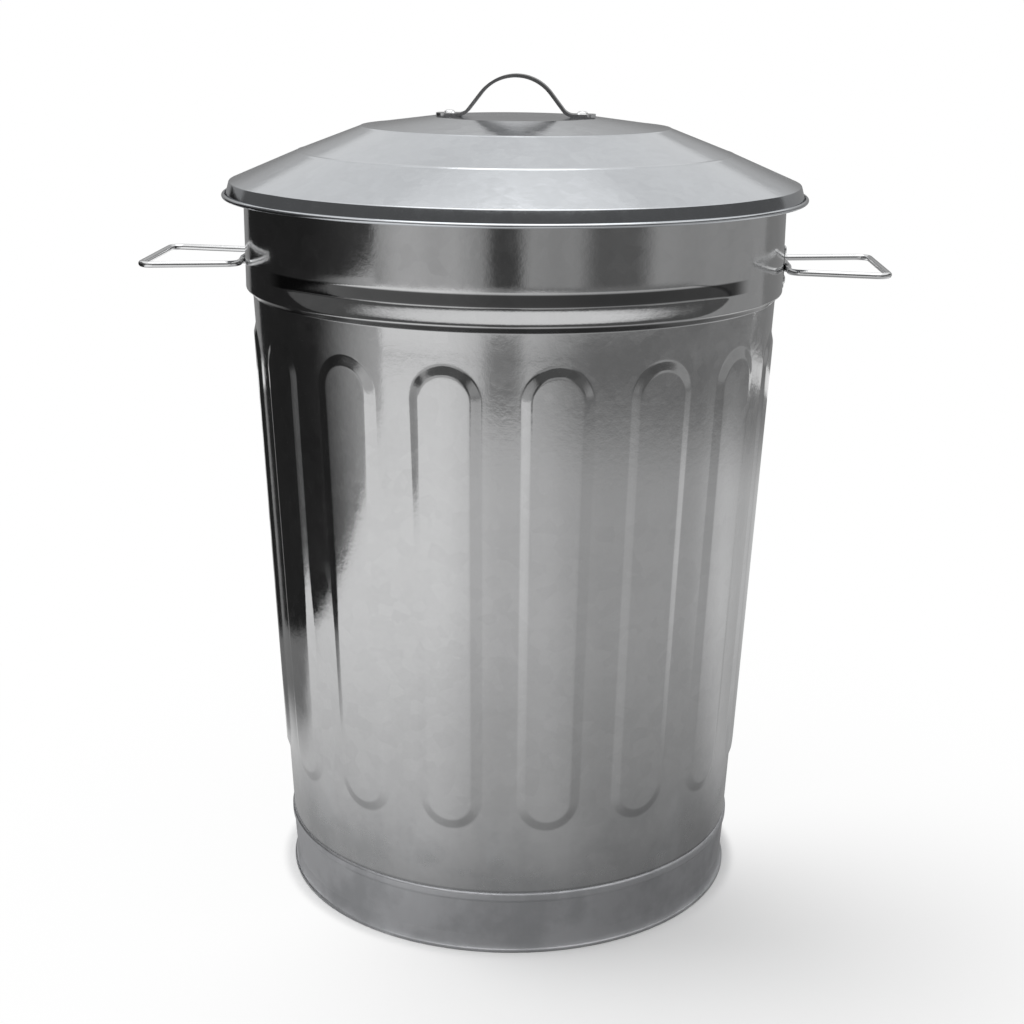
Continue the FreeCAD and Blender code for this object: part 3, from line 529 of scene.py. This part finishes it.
def swage_press(sizes, turn, height):
    """How far the band is pressed in: a V that leaves the band on a tangent at both ends."""
    from_front = abs((turn + math.pi / 2) % math.pi - math.pi / 2)
    if from_front >= sizes.swage_angle:
        return 0.0
    floor_radius = sizes.band_radius - sizes.swage_depth
    straight = sizes.swage_angle - math.acos(floor_radius / sizes.band_radius)
    depth = sizes.swage_depth
    if from_front > straight:
        depth = sizes.band_radius - floor_radius / math.cos(from_front - straight)
    half = (sizes.swage_high - sizes.swage_low) / 2
    off = math.hypot(height - sizes.swage_mid, SWAGE_BEND) - SWAGE_BEND * 0.4
    v = depth - sizes.swage_depth * off / half
    lip, run_out = SWAGE_BEND / 2, -0.004
    return (v + math.hypot(v, lip)) / 2 if v > run_out else 0.0


def pressed(sizes, turn, radius, height):
    """Radius of the sheet with the swage pressed into the band. The wall under it keeps its own."""
    if radius < (sizes.radius_high + sizes.band_radius) / 2:
        return radius
    return radius - swage_press(sizes, turn, height)


def wall_mesh():
    """Outer face of the can's sheet, from its lower edge up into the rolled rim."""
    sizes, flutes = bpy.context.scene.can_wall_sizes, bpy.context.scene.flute_sizes
    rings, upper, lower, top, bottom = flute_cell(sizes, flutes)
    points, faces = [], []

    def put(turn, height, radius):
        points.append((radius * math.sin(turn), -radius * math.cos(turn), height))
        return len(points) - 1

    def weave(rows):
        """Faces between rows of points that each close on themselves."""
        for low, high in zip(rows, rows[1:]):
            for i in range(len(low)):
                n = (i + 1) % len(low)
                faces.append((low[i], low[n], high[n], high[i]))

    middles = [(k + 0.5) * math.tau / flutes.count for k in range(flutes.count)]
    for middle in middles:
        weave([[put(middle + a, z, wall_radius(sizes, z) + lift) for a, z, lift in ring] for ring in rings])
    rows, roll = band_profile(sizes, top)
    above = [(wall_radius(sizes, top), top)] + rows + roll
    below = [(wall_radius(sizes, z), z) for z in np.linspace(bottom, sizes.foot, 10)]
    for turns, heights in ((upper, above), (lower, below)):
        columns = [middle + a for middle in middles for a in turns[:-1]]
        weave([[put(turn, z, pressed(sizes, turn, radius, z)) for turn in columns] for radius, z in heights])
    return points, faces


class TRASHCAN_OT_wall(bpy.types.Operator):
    """Builds the fluted wall with its swaged band and rolled rim"""
    bl_idname = "trashcan.wall"
    bl_label = "Can Wall"

    def execute(self, context):
        look, sizes = context.scene.zinc_look, context.scene.can_wall_sizes
        swage_reach = sizes.band_radius * math.cos(sizes.swage_angle) - 0.02
        # Painted shade in three folds: the upper face of the V, the step under the band, and a dark line just
        # above the base ring's top
        shaded_folds = ((sizes.swage_mid, sizes.swage_high, swage_reach, 0.86),                # upper face of the V
                 (sizes.height_high - 0.0005, sizes.band_bottom, ALL_ROUND, 0.85),      # step under the band
                 (sizes.height_low - 0.001, sizes.height_low + 0.0022, ALL_ROUND, 0.60))
        finish = zinc("body_zinc", look.body_tone, look.body_roughness, ripple=0.9, foot=look.weathering,
                      fold_shade=shaded_folds)
        points, faces = wall_mesh()
        wall = mesh_piece("can_wall", points, faces, finish, SLOT_SHEET)
        sheet = wall.modifiers.new("gauge", "SOLIDIFY")
        sheet.thickness = sizes.gauge
        sheet.offset = -1.0
        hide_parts("body_shell")
        seam = self.lap_seam(sizes, finish)
        seam.parent = wall
        return {"FINISHED"}

    @staticmethod
    def lap_seam(sizes, finish):
        """Overlap of the sheet down the back, one gauge proud of the wall."""
        above_flutes, sunk_edge = 0.484, -0.0002
        rows = [(wall_radius(sizes, z), z) for z in (sizes.seam_low, 0.16, 0.27, 0.38, above_flutes)]
        rows += [(r, z) for r, z in band_profile(sizes, above_flutes)[0] if z < sizes.seam_high]
        half = sizes.seam_width / 2 / sizes.radius_high
        across = (-1.0, -0.97, -0.5, 0.0, 0.5, 0.97, 1.0)
        points = []
        for radius, z in rows:
            for side in across:
                turn = math.pi + half * side
                lift = sunk_edge if abs(side) == 1.0 else sizes.gauge
                r = pressed(sizes, turn, radius, z) + lift
                points.append((r * math.sin(turn), -r * math.cos(turn), z))
        width = len(across)
        faces = [(i * width + k, i * width + k + 1, (i + 1) * width + k + 1, (i + 1) * width + k)
                 for i in range(len(rows) - 1) for k in range(width - 1)]
        return mesh_piece("lap_seam", points, faces, finish, SLOT_SHEET)


class TRASHCAN_OT_base(bpy.types.Operator):
    """Builds the base ring and finishes the floor pan"""
    bl_idname = "trashcan.base"
    bl_label = "Base"

    def execute(self, context):
        look, sizes, ring = context.scene.zinc_look, context.scene.can_wall_sizes, context.scene.ring_sizes
        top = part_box("base_ring")[1].z
        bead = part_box("base_ring")[1].x
        inner = wall_radius(sizes, top) + ring.seat
        foot = wall_radius(sizes, ring.foot_height) + ring.seat + ring.gauge
        fold, hem = ring.hem_height, foot - ring.hem
        profile = rounded([
            (hem, 0.0), (bead, 0.0, 0.0010), (bead, 0.0024, 0.0010),            # round the foot's bead
            (bead - 0.0013, 0.0030, 0.0005), (foot + 0.0002, 0.014, 0.005),
            (inner + ring.gauge, top - 0.0085, 0.002),
            (inner + ring.swelling, top - 0.0062, 0.0016),                      # round the upper edge
            (inner + ring.swelling, top - 0.0020, 0.0014),
            (inner + 0.0004, top), (inner, top - 0.0004),                       # down inside to the hem
            (wall_radius(sizes, fold) + ring.seat, fold), (hem, fold)])
        # Painted shade on the lowest 3 mm of the ring: the bottom of the foot's bead is darkened where it
        # meets the floor
        finish = zinc("ring_zinc", look.ring_tone, look.ring_roughness, ripple=0.5, spangle=0.8, foot=0.2,
                      fold_shade=((-0.002, 0.0030, ALL_ROUND, 0.90),))
        hoop = mesh_piece("foot_ring", *turned(profile, closed=True), finish, SLOT_SHEET)
        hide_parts("base_ring")
        pan = zinc("pan_zinc", look.body_tone, look.pan_roughness, ripple=0.6)
        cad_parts["floor_pan"].data.materials[0] = pan
        return {"FINISHED"}


class TRASHCAN_OT_lid(bpy.types.Operator):
    """Builds the pressed lid with its creases, skirt and rolled edge"""
    bl_idname = "trashcan.lid"
    bl_label = "Lid"

    def execute(self, context):
        look, s = context.scene.zinc_look, context.scene.lid_sizes
        gauge = context.scene.can_wall_sizes.gauge
        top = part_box("lid_shell")[1].z
        roll = (s.edge_radius - s.edge_roll, top - s.edge_drop + s.edge_roll)
        inside = s.edge_roll - gauge
        flat, crease, second, shoulder = (
            np.array(pair) for pair in ((s.top_radius, top), (s.crease_radius, top - s.crease_drop),
                                        (s.break_radius, top - s.break_drop),
                                        (s.shoulder_radius, top - s.shoulder_drop)))
        profile = rounded([
            (0.0, top), (*flat, s.bend), *self.crease(flat, crease, second, s.ridge),
            *self.crease(crease, second, shoulder, s.ridge), (*shoulder, s.shoulder_bend),
            (roll[0] - inside, roll[1])], steps=8)[:-1]
        profile += circle_arc(roll, inside, 180.0, 470.0, ROLL_STEPS)
        finish = zinc("lid_zinc", look.lid_tone, look.lid_roughness, ripple=0.35, spangle=0.7, streaks=0.2)
        lid = mesh_piece("lid_sheet", *turned(profile, closed=False), finish, SLOT_SHEET, "lid")
        sheet = lid.modifiers.new("gauge", "SOLIDIFY")
        sheet.thickness = gauge
        sheet.offset = -1.0
        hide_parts("lid_shell")
        return {"FINISHED"}

    @staticmethod
    def crease(before, here, after, ridge):
        """Corners of a crease that the press leaves slightly proud of the two slopes."""
        width, bend = 8 * ridge, 3 * ridge
        back, on = ((end - here) / np.linalg.norm(end - here) * width for end in (before, after))
        return [(*(here + back), bend), (here[0], here[1] + ridge, bend), (*(here + on), bend)]


class TRASHCAN_OT_fittings(bpy.types.Operator):
    """Finishes the bails, ears, rivets, rim wire and strap handle"""
    bl_idname = "trashcan.fittings"
    bl_label = "Fittings"

    def execute(self, context):
        look = context.scene.zinc_look
        wire = zinc("wire_zinc", look.wire_tone, look.wire_roughness, spangle=0.3)
        ear = zinc("ear_zinc", look.wire_tone, look.ear_roughness, spangle=0.4)
        rivet = zinc("rivet_zinc", look.wire_tone, look.rivet_roughness, spangle=0.3)
        strap = zinc("strap_zinc", look.strap_tone, look.strap_roughness, spangle=0.4)
        finishes = (("rivet", rivet), ("ear", ear), ("lid_handle", strap), ("handle", wire), ("wire", wire))
        for name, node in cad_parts.items():
            if name not in SHEET_NODES:
                node.data.materials[0] = next(finish for word, finish in finishes if word in name)
        return {"FINISHED"}


# ---- studio ------------------------------------------------------------------------------------

def stage_mesh(name, points, faces):
    """A flat or upright sheet of the studio, with an empty material's graph to fill."""
    mesh = bpy.data.meshes.new(name)
    mesh.from_pydata(points, [], faces)
    material = bpy.data.materials.new(name)
    mesh.materials.append(material)
    sheet = bpy.data.objects.new(name, mesh)
    bpy.context.scene.collection.objects.link(sheet)
    return Graph(material), sheet


def turn_of(g, place):
    """Angle round the can's axis, from the front towards +X."""
    parts = g.split(place)
    return g.add("ShaderNodeMath", {"operation": "ARCTAN2"},
                 {0: g.part(parts, "X"), 1: 0.0 - g.part(parts, "Y")})


def sweep(g, turn, start, end):
    """0 before the first angle, 1 after the second, in degrees."""
    return g.between(turn, math.radians(start), math.radians(end))


def stripe(g, turn, middle, inner, outer):
    """1 within an angle of the middle, eased to 0 at the outer angle, in degrees."""
    return 1.0 - sweep(g, g.absolute(turn - math.radians(middle)), inner, outer)


def upright(line, height):
    """Points and faces of a card that stands on a line on the floor."""
    points = [(x, y, z) for x, y in line for z in (0.0, height)]
    return points, [(2 * i, 2 * i + 2, 2 * i + 3, 2 * i + 1) for i in range(len(line) - 1)]


def arc_line(radius, start, end, steps):
    """Places on the floor round the can's axis, from one angle to another in degrees."""
    return [(radius * math.sin(t), -radius * math.cos(t)) for t in np.radians(np.linspace(start, end, steps))]


def disc(near, far, height):
    """Points and faces of a level ring about the can's axis."""
    turns = np.radians(np.linspace(-180.0, 180.0, 35))
    points = [(r * math.sin(t), -r * math.cos(t), height) for t in turns for r in (near, far)]
    return points, [(2 * i, 2 * i + 1, 2 * i + 3, 2 * i + 2) for i in range(len(turns) - 1)]


def card(name, mesh, shade=None, strength=1.0):
    """A white card, or one whose grey comes from shade(graph, place), that only the metal mirrors."""
    g, sheet = stage_mesh(name, *mesh)
    colour = g.grey(shade(g, g.place())) if shade else (1.0, 1.0, 1.0)
    g.finish(g.add("ShaderNodeEmission", {}, {"Color": colour, "Strength": strength}))
    sheet.visible_camera = sheet.visible_diffuse = sheet.visible_shadow = False
    sheet.visible_transmission = sheet.visible_volume_scatter = False


class TRASHCAN_OT_stage(bpy.types.Operator):
    """Sets the floor, the surroundings, the lamps and the camera"""
    bl_idname = "trashcan.stage"
    bl_label = "Studio"

    def execute(self, context):
        studio = context.scene.studio_look
        self.world(studio)
        self.floor(studio)
        self.cards()
        self.lamp("key_lamp", place=(-2.4, 0.3, 2.4), size=2.4, power=studio.key)
        self.camera(studio)
        context.scene.view_settings.view_transform = "Standard"
        return {"FINISHED"}

    @staticmethod
    def world(studio):
        world = bpy.data.worlds.new("studio")
        bpy.context.scene.world = world
        g = Graph(world)
        seen = g.add("ShaderNodeLightPath", output="Is Camera Ray")
        mirrored = g.add("ShaderNodeLightPath", output="Is Glossy Ray")
        through = g.add("ShaderNodeLightPath", output="Is Transmission Ray")
        direct = g.add("ShaderNodeClamp", {}, {"Value": seen + mirrored + through})
        level = direct * (1.0 - studio.sky) + studio.sky
        shader = g.add("ShaderNodeBackground", {}, {"Color": g.grey(level), "Strength": 1.0})
        g.add("ShaderNodeOutputWorld", {}, {"Surface": shader})

    @staticmethod
    def floor(studio):
        """Pale paper: it takes the can's shadow close by and turns to plain white farther out."""
        far = 30.0
        corners = [(-far, -far, 0.0), (far, -far, 0.0), (far, far, 0.0), (-far, far, 0.0)]
        g, _ = stage_mesh("floor", corners, [(0, 1, 2, 3)])
        paper = g.add("ShaderNodeBsdfDiffuse", {}, {"Color": tuple(studio.floor_tone)})
        white = g.add("ShaderNodeEmission", {}, {"Color": (1.0, 1.0, 1.0), "Strength": 1.0})
        place = g.place()
        away = g.away(place)
        seen = g.add("ShaderNodeLightPath", output="Is Camera Ray")
        shadow_side = stripe(g, turn_of(g, place), 30, 15, 85) * 0.84 + 0.08
        shadow = shadow_side * (1.0 - g.between(away, 0.22, 0.72))
        plain = (1.0 - shadow) * g.between(away, 0.193, 0.204)
        g.finish(g.add("ShaderNodeMixShader", {}, {0: plain * seen, 1: paper, 2: white}))

    @staticmethod
    def cards():
        """Cards that the camera doesn't see, for the metal to mirror as in a dim studio."""
        def left(g, place):
            bright = sweep(g, turn_of(g, place), -84, -50) * 0.55
            return bright * (1.0 - g.between(g.height(place), 0.30, 0.40) * 0.92) + 0.022

        def front(g, place):
            turn, height = turn_of(g, place), g.height(place)
            room = g.noise(place, size=0.5, detail=1.0, stretch=(1.0, 1.0, 0.12)) * 0.16 + 0.30
            for middle, inner, outer, change in ((-1, 3, 10, -0.80), (42, 7, 18, -0.62), (-32, 10, 22, 0.45)):
                room = room * (1.0 + stripe(g, turn, middle, inner, outer) * change)
            near_floor = 0.60 - sweep(g, turn, -25, 5) * 0.38
            room = room + (near_floor - room) * (1.0 - g.between(height, 0.0, 0.16))
            room = room * (sweep(g, turn, -66, -50) * 0.94 + 0.06)
            wall = room + (0.11 - room) * g.between(height, 0.57, 0.70)
            ceiling = sweep(g, turn, -80, -62) * 0.80 + 0.05
            return wall + g.between(height, 1.45, 1.80) * ceiling

        def back(g, place):
            height = g.height(place)
            level = g.between(height, 0.7, 1.3) * 0.24 + 0.26
            return level + g.between(height, 1.36, 1.46) * 0.32 + g.between(height, 3.16, 3.34) * 0.14

        def paper(g, place):
            # Painted reflection of the floor with the can's shadow painted in: darker close to the can,
            # towards the right and behind it
            turn, away = turn_of(g, place), g.away(place)
            level = 1.0 - sweep(g, turn, -30, 2) * 0.22
            level = level - stripe(g, turn, 62, 20, 48) * 0.28 - stripe(g, turn, 6, 14, 34) * 0.10
            level = level * (g.between(away, 0.15, 0.90) * 0.38 + 0.62)
            level = level * (g.between(away, 0.24, 0.36) * 0.30 + 0.70)
            level = level * (1.0 - sweep(g, turn, 105, 135) * 0.28)
            wavy = turn + g.noise(place, size=0.12, detail=2.0) * 0.3 - 0.15
            level = level * (1.0 - g.between(away, 0.34, 0.50) * stripe(g, wavy, -125, 22, 34) * 0.75)
            far = g.between(away, 1.2, 1.75) * sweep(g, turn, 0, 36)
            far = far + g.between(away, 1.42, 1.62) * stripe(g, turn, -2, 3, 11)
            return level * (1.0 - far * 0.58)

        reach = 1.95
        left_line = [(-0.52, 0.44), (-0.74, 0.02), (-0.98, -0.42), (-1.30, -1.0)]
        card("card_left", upright(left_line, height=0.60), left)
        card("card_front", upright(arc_line(reach, -125, 125, steps=61), height=1.80), front)
        card("card_back", upright(arc_line(2.2, 125, 235, steps=31), height=3.60), back)
        card("card_top", disc(near=0.0, far=1.1, height=2.6), strength=2.2)
        card("floor_card", disc(near=0.194, far=reach, height=0.003), paper)

    @staticmethod
    def lamp(name, place, size, power):
        """A round lamp, aimed at the can, that the metal doesn't mirror."""
        data = bpy.data.lights.new(name, "AREA")
        data.shape, data.size, data.energy = "DISK", size, power
        lamp = bpy.data.objects.new(name, data)
        lamp.location = place
        middle_of_can = Vector((0.0, 0.0, 0.3))
        aim = middle_of_can - Vector(place)
        lamp.rotation_euler = aim.to_track_quat("-Z", "Y").to_euler()
        lamp.visible_glossy = False
        bpy.context.scene.collection.objects.link(lamp)

    @staticmethod
    def camera(studio):
        data = bpy.data.cameras.new("camera")
        data.sensor_width, data.lens = 36.0, studio.lens
        data.clip_end = 200.0
        camera = bpy.data.objects.new("camera", data)
        side, down = studio.azimuth, studio.pitch
        camera.location = (studio.distance * math.sin(side), -studio.distance * math.cos(side), studio.height)
        look = Vector((-math.sin(side) * math.cos(down), math.cos(side) * math.cos(down), -math.sin(down)))
        turn = look.to_track_quat("-Z", "Y").to_matrix().to_4x4()
        camera.rotation_euler = turn.to_euler()
        camera.rotation_euler.rotate_axis("Z", studio.roll)
        bpy.context.scene.collection.objects.link(camera)
        bpy.context.scene.camera = camera


# ---- panel and registration --------------------------------------------------------------------

OPERATORS = (TRASHCAN_OT_wall, TRASHCAN_OT_base, TRASHCAN_OT_lid, TRASHCAN_OT_fittings, TRASHCAN_OT_stage)
GROUPS = {"can_wall_sizes": CanWallSizes, "flute_sizes": FluteSizes, "ring_sizes": RingSizes,
          "lid_sizes": LidSizes, "zinc_look": ZincLook, "studio_look": StudioLook}


class TRASHCAN_PT_panel(bpy.types.Panel):
    """Lists the pieces of the trash can"""
    bl_idname = "TRASHCAN_PT_panel"
    bl_label = "Trash Can"
    bl_space_type = "VIEW_3D"
    bl_region_type = "UI"
    bl_category = "Trash Can"

    def draw(self, context):
        for operator in OPERATORS:
            self.layout.operator(operator.bl_idname)


def register():
    for group in GROUPS.values():
        bpy.utils.register_class(group)
    for operator in OPERATORS:
        bpy.utils.register_class(operator)
    bpy.utils.register_class(TRASHCAN_PT_panel)
    for name, group in GROUPS.items():
        setattr(bpy.types.Scene, name, bpy.props.PointerProperty(type=group))


def unregister():
    for name in GROUPS:
        delattr(bpy.types.Scene, name)
    for each in (TRASHCAN_PT_panel, *reversed(OPERATORS), *reversed(GROUPS.values())):
        bpy.utils.unregister_class(each)


def main():
    register()
    bpy.ops.trashcan.wall()
    bpy.ops.trashcan.base()
    bpy.ops.trashcan.lid()
    bpy.ops.trashcan.fittings()
    bpy.ops.trashcan.stage()


if __name__ == "__main__":
    main()
